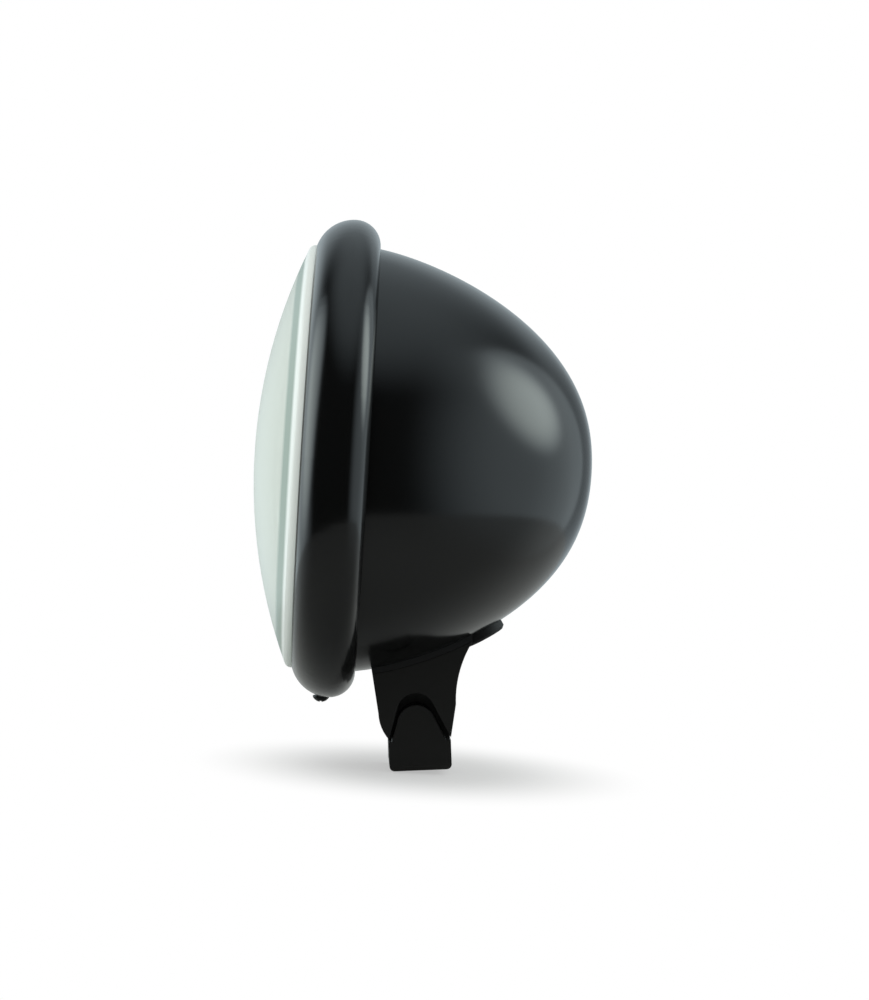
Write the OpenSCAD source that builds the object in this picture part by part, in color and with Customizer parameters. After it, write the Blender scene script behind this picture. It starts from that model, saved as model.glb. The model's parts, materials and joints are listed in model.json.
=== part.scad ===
// Round motorcycle headlight on a raked foot.
// The lens faces -Y and +Z is up. The origin is the mouth of the threaded hole under the foot.
// Inside lamp() a piece is drawn with z along the optical axis, rearward, and y downward.

/* [Lamp unit] */
// Outer diameter of the lens and reflector flange
unit_d = 146; // [140:1:160]
// Radius of the sphere that the front of the lens follows
lens_sphere_r = 175.5; // [165:0.5:200]
// Wall of the pressed glass
lens_wall = 3.3; // [2.5:0.1:4]
// Radius of the rounded shoulder at the lens edge
lens_shoulder_r = 2.2; // [1.5:0.1:2.4]
// How far the shoulder stands in front of the rim's lip
lens_step = 0.5; // [0.3:0.1:2]
// Thickness of the lens flange
lens_flange_t = 2.4; // [2:0.1:3]
// Spacing of the upright flutes inside the lens
flute_pitch = 7; // [6:0.5:10]
// Height of a flute above the inside of the lens
flute_h = 0.7; // [0.4:0.1:1]
// Radius of a flute's rounded back
flute_r = 4; // [3.5:0.5:6]
// Thickness of the sealing bead between lens and reflector
seal_t = 0.8; // [0.5:0.1:1.2]
// Focal length of the reflector
focal_len = 26; // [25:0.5:28]
// Wall of the reflector, measured along the axis
reflector_wall = 1.4; // [1:0.1:1.8]
// Thickness of the reflector flange
reflector_flange_t = 1; // [0.8:0.1:1.4]

/* [Rim] */
// Height of the rim's crest over the lamp unit's edge
rim_rise = 7; // [6.5:0.1:8]
// Bend radius of the rim in front of its crest
rim_front_bend = 13.2; // [12.5:0.1:14]
// Bend radius of the rim behind its crest
rim_rear_bend = 8.5; // [7.5:0.1:9]
// Sheet thickness of the rim
rim_wall = 0.9; // [0.7:0.1:1]
// How far the rim's lip covers the lamp unit's edge
rim_lip_cover = 2; // [1.8:0.1:2.4]
// Number of retaining clips round the lamp unit
clip_count = 4; // [4:2:8]
// Width of a retaining clip
clip_w = 12; // [8:1:16]

/* [Shell] */
// Sheet thickness of the shell
shell_wall = 1; // [0.8:0.1:1.5]
// Length of the shell from its mouth to its back
shell_len = 82.2; // [78:0.2:90]
// Exponent that rounds the back of the shell
bowl_shape = 1.47; // [1.4:0.01:1.6]
// Exponent that fills out the side of the shell
bowl_fullness = 0.438; // [0.42:0.001:0.48]

/* [Bulb] */
// Radius of the bulb's glass
bulb_r = 8.2; // [7.5:0.1:9]
// Length of the bulb's round tip in front of the filament shield
bulb_tip = 8.5; // [6:0.5:12]
// Radius of the bulb's flange
bulb_flange_r = 21.3; // [20:0.1:22]
// Radius of the bulb's base
bulb_base_r = 11; // [10:0.5:12]
// Length of the reflector's neck behind the bottom of the dish
neck_len = 2; // [1.5:0.1:4]
// Distance of the pilot lamp from the axis
pilot_off = 42; // [40:0.5:46]
// Angle of the pilot lamp from the bottom
pilot_angle = 40; // [35:1:60]
// Radius of the pilot lamp's holder
pilot_r = 7; // [6:0.5:8]

/* [Foot] */
// Height of the foot, from its underside to the shell over its hole
foot_h = 37.9; // [36:0.1:44]
// Distance of the foot's hole behind the rim's crest
foot_back = 32.3; // [28:0.1:34]
// Angle between the foot and the lens plane
foot_rake = 5.5; // [3:0.5:8]
// Width of the foot across the lamp
foot_w = 28; // [24:1:32]
// Depth of the foot's block, front to back
block_d = 20.7; // [18:0.1:22]
// Height of the block below the saddle body
block_h = 11; // [8:0.5:14]
// Radius of the block's lower edges
block_round = 2; // [1:0.1:3]
// Depth of the arched recess in each side of the foot
recess_t = 1.5; // [1:0.1:2]
// Radius of the threaded hole in the underside
foot_hole_r = 4.25; // [3.4:0.05:5]
// Depth of that hole
foot_hole_depth = 15; // [12:1:16]
// Thickness of the rubber pad between shell and foot
pad_t = 2; // [1.5:0.1:3]
// Radius of the bolt that holds the foot
bolt_r = 3; // [2.5:0.1:3.5]

/* [Cable outlet] */
// Radius of the grommet's bore
outlet_r = 4; // [3:0.1:4.5]
// Radius of the hole in the shell
outlet_hole_r = 6.6; // [6:0.1:7.5]
// Distance of the outlet behind the rim's crest
outlet_back = 50; // [49:0.5:54]
// Radius of the grommet's outer flange
outlet_flange_r = 7.9; // [7.6:0.1:9]

/* [Hidden] */
$fn = 96;

// Clearance between pieces that seat on each other, and between a shaft and its hole
seat_gap = 0.05;
shaft_gap = 0.15;
// Play of the lamp unit and of the shell's mouth in the rim
unit_gap = 0.2;
// Overshoot of a cut past the face that it opens
over = 1;

unit_r = unit_d / 2;
crest_r = unit_r + rim_rise;
front_bend_r = crest_r - rim_front_bend;
rear_bend_r = crest_r - rim_rear_bend;
lip_r = unit_r - rim_lip_cover;

// Widths of the lens flange, of the plain band round the flutes, of the reflector flange, of the neck's
// edge outside the bulb's flange and of the bulb's seat
lens_flange_w = 5;
flute_edge = 2;
reflector_flange_w = 6.5;
neck_lip = 0.7;
bulb_seat_w = 2.8;
// How far the sealing bead stays inside the edges of the lens flange
seal_inset = 0.4;

// Places along the optical axis, from the rim's crest rearward
flange_y = -sqrt(pow(rim_front_bend - rim_wall, 2) - pow(unit_r - front_bend_r, 2)) + unit_gap;
lens_back_y = flange_y + lens_flange_t;
reflector_y = lens_back_y + seal_t;
reflector_back_y = reflector_y + reflector_flange_t;
dish_r = unit_r - reflector_flange_w;
vertex_y = reflector_back_y + pow(dish_r, 2) / (4 * focal_len);
focus_y = vertex_y - focal_len;
neck_y = vertex_y + neck_len;
neck_r = bulb_flange_r + neck_lip;
neck_hole_r = bulb_flange_r - bulb_seat_w;
lip_y = -sqrt(pow(rim_front_bend, 2) - pow(lip_r - front_bend_r, 2));
lens_body_r = lip_r - unit_gap;
shoulder_r = lens_body_r - lens_shoulder_r;
shoulder_y = lip_y - lens_step;
lens_centre_y = shoulder_y + sqrt(pow(lens_sphere_r - lens_shoulder_r, 2) - pow(shoulder_r, 2));
lens_inner_r = lens_sphere_r - lens_wall;
lens_cup_r = unit_r - lens_flange_w;
flute_reach = lens_cup_r - flute_edge;
flute_count = 2 * floor(flute_reach / flute_pitch) + 1;

// The shell: its mouth, its straight skirt and the curve behind it
mouth_r = rear_bend_r - unit_gap;
mouth_y = 1.6;
skirt_l = 2.4;
shell_back_y = mouth_y + shell_len;
bowl_y = mouth_y + skirt_l;
bowl_l = shell_back_y - bowl_y;
bowl_steps = 28;
dish_steps = 24;

// The rim's screw, its nut and the lug that holds it
screw_r = 2;
screw_head_r = 2.75;
screw_head_t = 2.1;
screw_y = -2.4;
nut_r = 3.9;
nut_t = 2.6;
lug_w = 12;
lug_t = 1.2;
lug_y = -5.4;
lug_r = mouth_r + 2.6;
lug_end_y = 5.4;
nut_top_r = sqrt(pow(lug_r, 2) - pow(nut_r, 2)) - seat_gap;
screw_len = 9.5;
screw_dome_r = 3.2;
slot_len = 3.3;
slot_w = 0.6;
slot_t = 0.8;

// The bulb and what seals and holds it, from its flange rearward
bulb_flange_t = 1.2;
bulb_base_len = 12;
bulb_wall = 0.9;
glass_inner_r = bulb_r - bulb_wall;
collar_r = bulb_r + 1.6;
collar_len = 9;
flange_back_y = neck_y + seat_gap + bulb_flange_t;
filament_r = 0.7;
filament_len = 5.5;
filament_step = 9;
lead_r = 0.35;
lead_x = 2.4;
lead_back_y = neck_y - 3 * bulb_wall - seat_gap;
shield_r = 3.6;
shield_len = 9;
shield_wall = 0.4;
shield_edge = 0.6;
shield_front_y = focus_y - filament_step - shield_len / 2;
bulb_front_y = shield_front_y - bulb_tip;
terminal_w = 8;
terminal_t = 0.8;
terminal_len = 8;
terminal_off = 6;
wire_r = 0.7;
wire_x = 12.5;
wire_z = 23;
horn_w = 4;
horn_t = 3;
horn_y = vertex_y - pow(neck_r + horn_w, 2) / (4 * focal_len);
horn_top_y = neck_y + bulb_flange_t - seat_gap;
boot_r = neck_r + 8;
boot_wall = 1.6;
boot_len = 14;
boot_lip_t = 2;
boot_squeeze = 0.1;
dish_back_at_boot = vertex_y + reflector_wall - pow(boot_r - boot_wall, 2) / (4 * focal_len);

// The rim's retaining clips and the hook at its top
clip_wall = 0.8;
clip_reach = 3;
clip_y = reflector_back_y + seat_gap;
clip_end_y = 4.5;
clip_end_r = sqrt(pow(rear_bend_r + sqrt(pow(rim_rear_bend - rim_wall, 2) - pow(clip_end_y, 2)) - 0.1, 2)
    - pow(clip_w / 2, 2));
hook_w = 14;
hook_y = 2;
hook_end_y = 6.7;
hook_wall = 1.1;
hook_r = mouth_r + 2.8;

// The pilot lamp's tube behind the reflector
pilot_tube_r = pilot_r + 1;
pilot_tube_len = 10;
pilot_foot_y = vertex_y + reflector_wall / 3 - pow(pilot_off + pilot_tube_r, 2) / (4 * focal_len);
pilot_tube_y = vertex_y - pow(pilot_off, 2) / (4 * focal_len) + pilot_tube_len;
holder_len = 8;
holder_flange_t = 2;
holder_barrel_r = pilot_r - 1.5;
holder_barrel_len = 9;
pilot_bulb_r = pilot_r - 2;
pilot_bulb_len = 18;
pilot_glass_t = 0.7;

// The foot's parts, measured up the foot from its underside
axis_h = foot_h + bowl_r(foot_back);
block_w = foot_w - 2 * recess_t;
saddle_front = 16.8;
saddle_rear = 18.6;
waist_rear = 12.4;
waist_z = 22;
flare_r = 37;
front_round_r = 14;
front_round_z = 20;
front_step = 9.8;
front_steps = 6;
arch_lead = -1;
// How far the saddle's outline and the top of the clamp plate lie above the height of the foot
saddle_rise = 10.5;
plate_rise = 8.5;
foot_top_z = foot_h + saddle_rise;
plate_top_z = foot_h + plate_rise;
// The grommet: how far it reaches in and out from the sheet, its cord grip and the wider bore behind that
grommet_in = 3.6;
grommet_out = 2.6;
grip_from = 0.8;
relief_r = outlet_r + 0.6;
grommet_lip = 1;
grommet_bevel = 0.8;
outlet_play = 0.4;

// The foot's clamp, bolt and recesses
plate_w = 22;
plate_d = 26;
washer_r = 8;
washer_t = 1.6;
bolt_head_af = 10;
bolt_head_t = 4;
bolt_from = 22;
bolt_seat_z = plate_top_z + washer_t;
arch_r = 6.4;
arch_z = 19.8;
arch_shade = 4.2;
pocket_depth = 8;

function bowl_point(a) = [mouth_r * pow(cos(a), 2 * bowl_fullness),
    bowl_y + bowl_l * pow(sin(a), 2 / bowl_shape)];
function bowl_normal(a) = a >= 89.9 ? [0, 1] : a <= 0.1 ? [1, 0]
    : let (d = bowl_point(a + 0.05) - bowl_point(a - 0.05)) [d[1], -d[0]] / norm(d);
function bowl_offset(a, off) = let (p = bowl_point(a) + off * bowl_normal(a)) [max(p[0], 0), p[1]];
function bowl_r(y) = mouth_r * pow(1 - pow((y - bowl_y) / bowl_l, bowl_shape), bowl_fullness);
function bowl_lean(y) = atan((bowl_r(y - 0.1) - bowl_r(y + 0.1)) / 0.2);

// Draws with z along the optical axis from the rim's crest, x to the side and y down
module lamp() {
    translate([0, -foot_back, axis_h]) rotate([-90, 0, 0]) children();
}

// Draws with z up the foot from its underside
module foot_frame() {
    rotate([foot_rake, 0, 0]) children();
}

// Puts a piece at radius r and place y along the axis, at an angle from the bottom, z pointing outward
module radial(angle, r, y) {
    rotate([0, 0, angle]) translate([0, r, y]) rotate([-90, 0, 0]) children();
}

// Solid of revolution with the outline of the shell, grown by off
module bowl(off) {
    rotate_extrude() polygon(concat([[0, mouth_y], [mouth_r + off, mouth_y]],
        [for (i = [0:bowl_steps]) bowl_offset(90 * i / bowl_steps, off)]));
}

module ring(outer, inner, length) {
    difference() {
        cylinder(r = outer, h = length);
        translate([0, 0, -over]) cylinder(r = inner, h = length + 2 * over);
    }
}

// Cuts or fills the cable outlet's place on the shell, z along its outward axis
module at_outlet() {
    lamp() translate([0, bowl_r(outlet_back), outlet_back])
        rotate([-(90 - bowl_lean(outlet_back)), 0, 0]) children();
}

// Scallop that the foot and its pad leave round the grommet
module outlet_scallop() {
    at_outlet() translate([0, 0, -grommet_in - over])
        cylinder(r = outlet_flange_r + outlet_play, h = axis_h / 2);
}

module bolt_hole(from, to) {
    foot_frame() translate([0, 0, from]) cylinder(r = bolt_r + shaft_gap, h = to - from);
}

// Pressed steel bucket with a turned mouth, holed for the foot bolt and the cable
module shell() {
    color("#121314") difference() {
        lamp() difference() {
            bowl(0);
            bowl(-shell_wall);
            translate([0, 0, mouth_y - over]) cylinder(r = mouth_r - shell_wall, h = over + skirt_l / 2);
        }
        bolt_hole(bolt_from, bolt_seat_z);
        at_outlet() translate([0, 0, -grommet_in]) cylinder(r = outlet_hole_r, h = 2 * grommet_in);
    }
}

// One bend of the rim's sheet, kept on one side of the crest
module rim_bend(centre_r, bend, inner_r, side) {
    intersection() {
        translate([centre_r, 0]) difference() {
            circle(r = bend);
            circle(r = bend - rim_wall);
        }
        translate([inner_r, side < 0 ? -bend - over : 0]) square([bend + over + centre_r, bend + over]);
    }
}

// Pressed trim ring: a wide bend in front of the crest and a tight one behind it
module rim() {
    color("#121314") lamp() difference() {
        rotate_extrude() {
            rim_bend(front_bend_r, rim_front_bend, lip_r, -1);
            rim_bend(rear_bend_r, rim_rear_bend, rear_bend_r, 1);
        }
        radial(0, nut_top_r, screw_y) cylinder(r = screw_r + shaft_gap, h = crest_r - nut_top_r + over);
    }
}

// One flute: a ridge that follows the sphere of the lens up and down, at x to the side of its middle
module flute(x) {
    path_r = sqrt(pow(lens_inner_r, 2) - pow(x, 2)) + flute_r - flute_h;
    reach = asin(flute_reach / path_r);
    translate([x, 0, lens_centre_y]) rotate([0, -90, 0]) rotate([0, 0, 180 - reach])
        rotate_extrude(angle = 2 * reach) translate([path_r, 0]) circle(r = flute_r, $fn = 48);
}

// Half outline of the lens: sphere, rounded shoulder, straight edge and flange
module lens_outline() {
    difference() {
        union() {
            intersection() {
                translate([0, lens_centre_y]) circle(r = lens_sphere_r, $fn = 360);
                translate([0, lens_centre_y - lens_sphere_r - over])
                    square([shoulder_r * lens_sphere_r / (lens_sphere_r - lens_shoulder_r),
                        lens_sphere_r + over + lens_back_y - lens_centre_y]);
            }
            translate([shoulder_r, shoulder_y]) circle(r = lens_shoulder_r);
            translate([shoulder_r - lens_shoulder_r, shoulder_y])
                square([2 * lens_shoulder_r, lens_back_y - shoulder_y]);
            translate([lens_cup_r - over, flange_y]) square([unit_r - lens_cup_r + over, lens_flange_t]);
        }
        intersection() {
            translate([0, lens_centre_y]) circle(r = lens_inner_r, $fn = 360);
            translate([-over, lens_centre_y - lens_sphere_r])
                square([over + lens_cup_r, lens_sphere_r + over + lens_back_y - lens_centre_y]);
        }
        translate([-2 * unit_r, -2 * unit_r]) square([2 * unit_r, 4 * unit_r]);
    }
}

// Pressed glass lens with upright flutes on its inside
module lens() {
    color("#CFDCD2", 0.5) lamp() {
        rotate_extrude() lens_outline();
        intersection() {
            for (i = [0:flute_count - 1]) flute((i - (flute_count - 1) / 2) * flute_pitch);
            translate([0, 0, lens_centre_y - lens_sphere_r]) cylinder(r = flute_reach, h = unit_r);
            translate([0, 0, lens_centre_y]) sphere(r = lens_inner_r + lens_wall / 2, $fn = 360);
        }
    }
}

// Sealing bead between the lens flange and the reflector flange
module lens_seal() {
    color("#E6EEE8") lamp() translate([0, 0, lens_back_y]) ring(unit_r - seal_inset, lens_cup_r + seal_inset, seal_t);
}

function dish_y(r) = vertex_y - pow(r, 2) / (4 * focal_len);

// Pressed reflector: a parabolic dish with a flange in front, a neck for the bulb and a pilot tube
module reflector() {
    color("#D8DCDD") lamp() difference() {
        union() {
            rotate_extrude() polygon(concat(
                [for (i = [0:dish_steps]) let (r = dish_r * i / dish_steps) [r, dish_y(r)]],
                [[dish_r, reflector_y], [unit_r, reflector_y], [unit_r, reflector_back_y],
                    [dish_r + reflector_wall, reflector_back_y]],
                [for (i = [dish_steps:-1:0]) let (r = dish_r * i / dish_steps)
                    [r, dish_y(r) + reflector_wall]]));
            translate([0, 0, dish_y(neck_r)]) cylinder(r = neck_r, h = neck_y - dish_y(neck_r));
            radial_pilot(pilot_foot_y) cylinder(r = pilot_tube_r, h = pilot_tube_y - pilot_foot_y);
            for (x = [-1, 1]) translate([x * wire_x - horn_w / 2, wire_z - horn_t + over / 2, horn_y])
                cube([horn_w, horn_t, horn_top_y - horn_y]);
            translate([-horn_w, -wire_z - horn_t / 2, horn_y]) cube([2 * horn_w, horn_t, horn_top_y - horn_y]);
        }
        translate([0, 0, focus_y]) cylinder(r = neck_hole_r, h = neck_y - focus_y + over);
        dish_space();
        radial_pilot(0) cylinder(r = pilot_r, h = pilot_tube_y + over);
    }
}

// The space in front of the reflecting face
module dish_space() {
    rotate_extrude() polygon(concat([[0, 0]],
        [for (i = [0:dish_steps]) let (r = dish_r * i / dish_steps) [r, dish_y(r)]],
        [[dish_r, reflector_y - over], [0, reflector_y - over]]));
}

// Puts a piece on the pilot lamp's axis, z along the optical axis from place y
module radial_pilot(y) {
    rotate([0, 0, pilot_angle]) translate([0, pilot_off, y]) children();
}

// A clip between the reflector flange and the inside of the rim, drawn as one bent strip
module rim_clip() {
    rotate([90, 0, 90]) translate([0, 0, -clip_w / 2]) linear_extrude(clip_w) polygon([
        [unit_r - clip_reach, clip_y],
        [unit_r + clip_wall / 2, clip_y],
        [clip_end_r, clip_end_y - clip_wall],
        [clip_end_r, clip_end_y],
        [clip_end_r - clip_wall, clip_end_y],
        [unit_r, clip_y + clip_wall],
        [unit_r - clip_reach, clip_y + clip_wall]]);
}

module rim_clips() {
    color("#A9ADB0") lamp() for (i = [0:clip_count - 1])
        rotate([0, 0, 360 * (i + 0.5) / clip_count]) rim_clip();
}

// Hook on the shell's skirt that catches the rim's hem at the top
module rim_hook() {
    color("#A9ADB0") lamp() intersection() {
        union() {
            translate([0, 0, hook_y])
                ring(mouth_r + hook_wall, mouth_r + seat_gap, hook_end_y - hook_y);
            translate([0, 0, hook_end_y - hook_wall]) ring(hook_r, mouth_r + seat_gap, hook_wall);
        }
        translate([-hook_w / 2, -crest_r, 0]) cube([hook_w, crest_r, hook_end_y + over]);
    }
}

// Lug on the shell's skirt that carries the rim's nut at the bottom
module rim_lug() {
    color("#A9ADB0") lamp() difference() {
        intersection() {
            union() {
                translate([0, 0, hook_y]) ring(lug_r + lug_t, mouth_r + seat_gap, lug_end_y - hook_y);
                translate([0, 0, lug_y]) ring(lug_r + lug_t, lug_r, lug_end_y - lug_y);
            }
            translate([-lug_w / 2, 0, lug_y - over]) cube([lug_w, crest_r, lug_end_y - lug_y + 2 * over]);
        }
        radial(0, lug_r - lug_t, screw_y) cylinder(r = screw_r + shaft_gap, h = 3 * lug_t);
    }
}

module rim_nut() {
    color("#B8BCBE") lamp() radial(0, nut_top_r - nut_t, screw_y) difference() {
        cylinder(r = nut_r, h = nut_t, $fn = 6);
        translate([0, 0, -over]) cylinder(r = screw_r + seat_gap, h = nut_t + 2 * over);
    }
}

// Domed screw that enters the rim from below
module rim_screw() {
    color("#1B1C1D") lamp() radial(0, crest_r, screw_y) difference() {
        union() {
            translate([0, 0, -screw_len]) cylinder(r = screw_r, h = screw_len + screw_head_t / 2);
            translate([0, 0, seat_gap]) rotate_extrude() intersection() {
                translate([0, screw_head_t - screw_dome_r]) circle(r = screw_dome_r);
                square([screw_head_r, screw_head_t]);
            }
        }
        for (a = [0, 90]) rotate([0, 0, a])
            translate([-slot_len / 2, -slot_w / 2, screw_head_t - slot_t])
                cube([slot_len, slot_w, slot_t + over]);
    }
}

// Glass envelope of the bulb, hollow, with a round tip in front
module bulb_glass() {
    color("#EEF2F3", 0.4) lamp() rotate_extrude() difference() {
        capsule(bulb_r, bulb_front_y, neck_y);
        capsule(glass_inner_r, bulb_front_y + bulb_wall, neck_y - 3 * bulb_wall);
    }
}

// Half outline of a tube with a round front end
module capsule(r, from, to) {
    intersection() {
        union() {
            translate([0, from + r]) circle(r = r);
            translate([0, from + r]) square([r, to - from - r]);
        }
        translate([0, from]) square([r, to - from]);
    }
}

// Bulb base: a collar round the glass, the seating flange and the barrel behind it
module bulb_base() {
    color("#C6C8C6") lamp() {
        translate([0, 0, neck_y - collar_len]) ring(collar_r, bulb_r + seat_gap, collar_len + over);
        translate([0, 0, neck_y + seat_gap]) cylinder(r = bulb_flange_r, h = bulb_flange_t);
        translate([0, 0, flange_back_y - over / 2])
            ring(bulb_base_r, bulb_base_r - bulb_wall, bulb_base_len + over / 2);
    }
}

module bulb_insulator() {
    color("#3A3128") lamp() translate([0, 0, flange_back_y + seat_gap])
        cylinder(r = bulb_base_r - bulb_wall - seat_gap, h = bulb_base_len - 2);
}

// Three flat terminals behind the insulator
module bulb_terminals() {
    color("#C9B26A") lamp() for (a = [90, 180, 270]) rotate([0, 0, a])
        translate([-terminal_w / 2, terminal_off - terminal_t / 2, flange_back_y + bulb_base_len - 2 + 2 * seat_gap])
            cube([terminal_w, terminal_t, terminal_len]);
}

// Driving and dipping filaments on their lead wires
module bulb_filaments() {
    color("#8C8F92") lamp() {
        for (z = [focus_y, focus_y - filament_step]) translate([0, 0, z - filament_len / 2])
            cylinder(r = filament_r, h = filament_len);
        translate([0, 0, focus_y - filament_step]) cylinder(r = lead_r, h = lead_back_y - focus_y + filament_step);
        for (x = [-1, 1]) translate([x * lead_x, 0, focus_y - filament_step * (1 + x) / 2 - filament_len / 2]) {
            cylinder(r = lead_r, h = lead_back_y - focus_y + filament_step * (1 + x) / 2 + filament_len / 2);
            rotate([0, -x * 90, 0]) cylinder(r = lead_r, h = lead_x);
        }
    }
}

// Cup that shades the dipping filament from below, on its own post
module bulb_shield() {
    color("#77797B") lamp() {
        translate([0, 0, shield_front_y]) intersection() {
            ring(shield_r, shield_r - shield_wall, shield_len);
            translate([-shield_r, shield_edge, 0]) cube([2 * shield_r, shield_r, shield_len]);
        }
        translate([0, shield_r - shield_wall / 2, focus_y - filament_step])
            cylinder(r = lead_r, h = lead_back_y - focus_y + filament_step);
    }
}

// Sprung wire that presses the bulb's flange on its seat
module bulb_spring() {
    color("#B9BDC0") lamp() translate([0, 0, flange_back_y + seat_gap + wire_r]) {
        for (x = [-1, 1]) translate([x * wire_x, -wire_z, 0]) {
            sphere(r = wire_r);
            rotate([-90, 0, 0]) cylinder(r = wire_r, h = 2 * wire_z);
        }
        translate([-wire_x, -wire_z, 0]) rotate([0, 90, 0]) cylinder(r = wire_r, h = 2 * wire_x);
    }
}

// Rubber boot from the back of the reflector to the bulb's barrel
module dust_boot() {
    from = dish_back_at_boot + 2 * unit_gap;
    bell = neck_y + boot_len * 0.4;
    lip = neck_y + boot_len * 0.65;
    end = neck_y + boot_len * 0.85;
    bore_r = bulb_base_r + boot_squeeze;
    color("#1C1D1E") lamp() rotate_extrude() polygon([
        [boot_r, from], [boot_r, bell], [bore_r + boot_lip_t, lip], [bore_r + boot_lip_t, end],
        [bore_r, end], [bore_r, lip - boot_wall],
        [boot_r - boot_wall, bell - boot_wall / 2], [boot_r - boot_wall, from]]);
}

module pilot_holder() {
    color("#26282A") lamp() radial_pilot(pilot_tube_y) {
        translate([0, 0, -holder_len]) cylinder(r = pilot_r - seat_gap, h = holder_len + over);
        translate([0, 0, seat_gap]) cylinder(r = pilot_tube_r + over, h = holder_flange_t);
        cylinder(r = holder_barrel_r, h = holder_barrel_len);
    }
}

module pilot_bulb() {
    color("#EEF2F3", 0.4) lamp() radial_pilot(pilot_tube_y - holder_len - seat_gap) rotate_extrude()
        difference() {
            capsule(pilot_bulb_r, -pilot_bulb_len, 0);
            capsule(pilot_bulb_r - pilot_glass_t, pilot_glass_t - pilot_bulb_len, -4 * pilot_glass_t);
        }
}

// The foot's body seen from the side: straight in front, flared behind, rounded into its block below
module foot_side() {
    round_y = block_d / 2 - front_step;
    round_end = asin((front_round_z - block_h) / front_round_r);
    difference() {
        polygon(concat([[-saddle_front, foot_top_z]],
            [for (i = [0:front_steps]) let (a = round_end * i / front_steps)
                [round_y - front_round_r * cos(a), front_round_z - front_round_r * sin(a)]],
            [[block_d / 2, block_h], [waist_rear, waist_z], [saddle_rear, waist_z],
                [saddle_rear, foot_top_z]]));
        translate([waist_rear + flare_r, waist_z]) circle(r = flare_r);
    }
}

// The arched recess in the foot's side, lowered by drop
module foot_arch(drop) {
    translate([arch_lead, -drop]) hull() {
        translate([0, arch_z]) circle(r = arch_r, $fn = 32);
        translate([-block_d / 2 - arch_lead, block_h - over]) square([block_d, over]);
    }
}

// Extrudes a side view of the foot across the lamp, from x to x + width
module across(x, width) {
    translate([x, 0, 0]) rotate([90, 0, 90]) linear_extrude(width) children();
}

// The block seen from one side, w wide, with its lower corners rounded
module block_face(w) {
    translate([block_round - w / 2, 0]) square([w - 2 * block_round, block_h + over]);
    translate([-w / 2, block_round]) square([w, block_h + over - block_round]);
    for (side = [-1, 1]) translate([side * (w / 2 - block_round), block_round]) circle(r = block_round);
}

// The block that is bolted down, rounded along its four lower edges
module foot_block() {
    intersection() {
        across(-foot_w / 2, foot_w) block_face(block_d);
        translate([0, block_d, 0]) rotate([90, 0, 0]) linear_extrude(2 * block_d) block_face(block_w);
    }
}

// Cast foot: a saddle body with an arched recess in each side, and the block that is bolted down
module foot() {
    color("#161718") difference() {
        foot_frame() difference() {
            union() {
                difference() {
                    across(-foot_w / 2, foot_w) foot_side();
                    for (side = [-1, 1]) across(side < 0 ? -foot_w : foot_w / 2 - recess_t, foot_w / 2 + recess_t)
                        foot_arch(0);
                }
                foot_block();
                across(-block_w / 2, block_w) foot_arch(0);
            }
            for (side = [-1, 1])
                across(side < 0 ? -foot_w : foot_w / 2 - pocket_depth, foot_w / 2 + pocket_depth)
                    difference() {
                        foot_arch(0);
                        foot_arch(arch_shade);
                    }
            translate([0, 0, -over]) cylinder(r = foot_hole_r, h = foot_hole_depth + over);
        }
        lamp() bowl(pad_t);
        bolt_hole(bolt_from, foot_top_z);
        outlet_scallop();
    }
}

// Rubber pad between the shell and the foot's saddle
module foot_pad() {
    color("#0D0D0E") difference() {
        intersection() {
            foot_frame() across(-foot_w / 2, foot_w) foot_side();
            lamp() bowl(pad_t - seat_gap);
        }
        lamp() bowl(seat_gap);
        bolt_hole(bolt_from, foot_top_z);
        outlet_scallop();
    }
}

// Plate inside the shell: it follows the sheet below and is flat above, square to the bolt
module clamp_plate() {
    color("#9EA2A5") difference() {
        intersection() {
            foot_frame() translate([-plate_w / 2, -plate_d / 2, waist_z])
                cube([plate_w, plate_d, plate_top_z - waist_z]);
            lamp() bowl(-shell_wall - seat_gap);
        }
        bolt_hole(bolt_from, foot_top_z);
    }
}

module foot_washer() {
    color("#B8BCBE") foot_frame() translate([0, 0, plate_top_z + seat_gap])
        ring(washer_r, bolt_r + shaft_gap, washer_t);
}

module foot_bolt() {
    head_z = plate_top_z + washer_t + 2 * seat_gap;
    color("#B8BCBE") foot_frame() {
        translate([0, 0, bolt_from + over]) cylinder(r = bolt_r, h = head_z - bolt_from);
        translate([0, 0, head_z]) cylinder(r = bolt_head_af / sqrt(3), h = bolt_head_t, $fn = 6);
    }
}

// Rubber grommet: its flanges follow the sheet on both sides, its neck fills the hole
module cable_grommet() {
    color("#0D0D0E") difference() {
        union() {
            difference() {
                at_outlet() {
                    translate([0, 0, -over]) cylinder(r = outlet_flange_r, h = over + grommet_out - grommet_bevel);
                    translate([0, 0, grommet_out - grommet_bevel]) cylinder(r1 = outlet_flange_r,
                        r2 = outlet_flange_r - grommet_bevel, h = grommet_bevel);
                }
                lamp() bowl(seat_gap);
            }
            intersection() {
                at_outlet() translate([0, 0, -grommet_in]) cylinder(r = outlet_hole_r + grommet_lip, h = grommet_in);
                lamp() bowl(-shell_wall - seat_gap);
            }
            at_outlet() translate([0, 0, -grommet_in]) cylinder(r = outlet_hole_r - seat_gap, h = grommet_in + over);
        }
        at_outlet() translate([0, 0, -grommet_in - over]) cylinder(r = relief_r, h = grommet_in + over + grip_from);
        at_outlet() cylinder(r = outlet_r, h = grommet_out + over);
    }
}

shell();
rim();
lens();
lens_seal();
reflector();
rim_clips();
bulb_glass();
bulb_base();
bulb_insulator();
bulb_terminals();
bulb_filaments();
bulb_shield();
bulb_spring();
dust_boot();
pilot_bulb();
pilot_holder();
rim_hook();
rim_lug();
rim_nut();
rim_screw();
foot();
foot_pad();
clamp_plate();
foot_washer();
foot_bolt();
cable_grommet();
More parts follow.
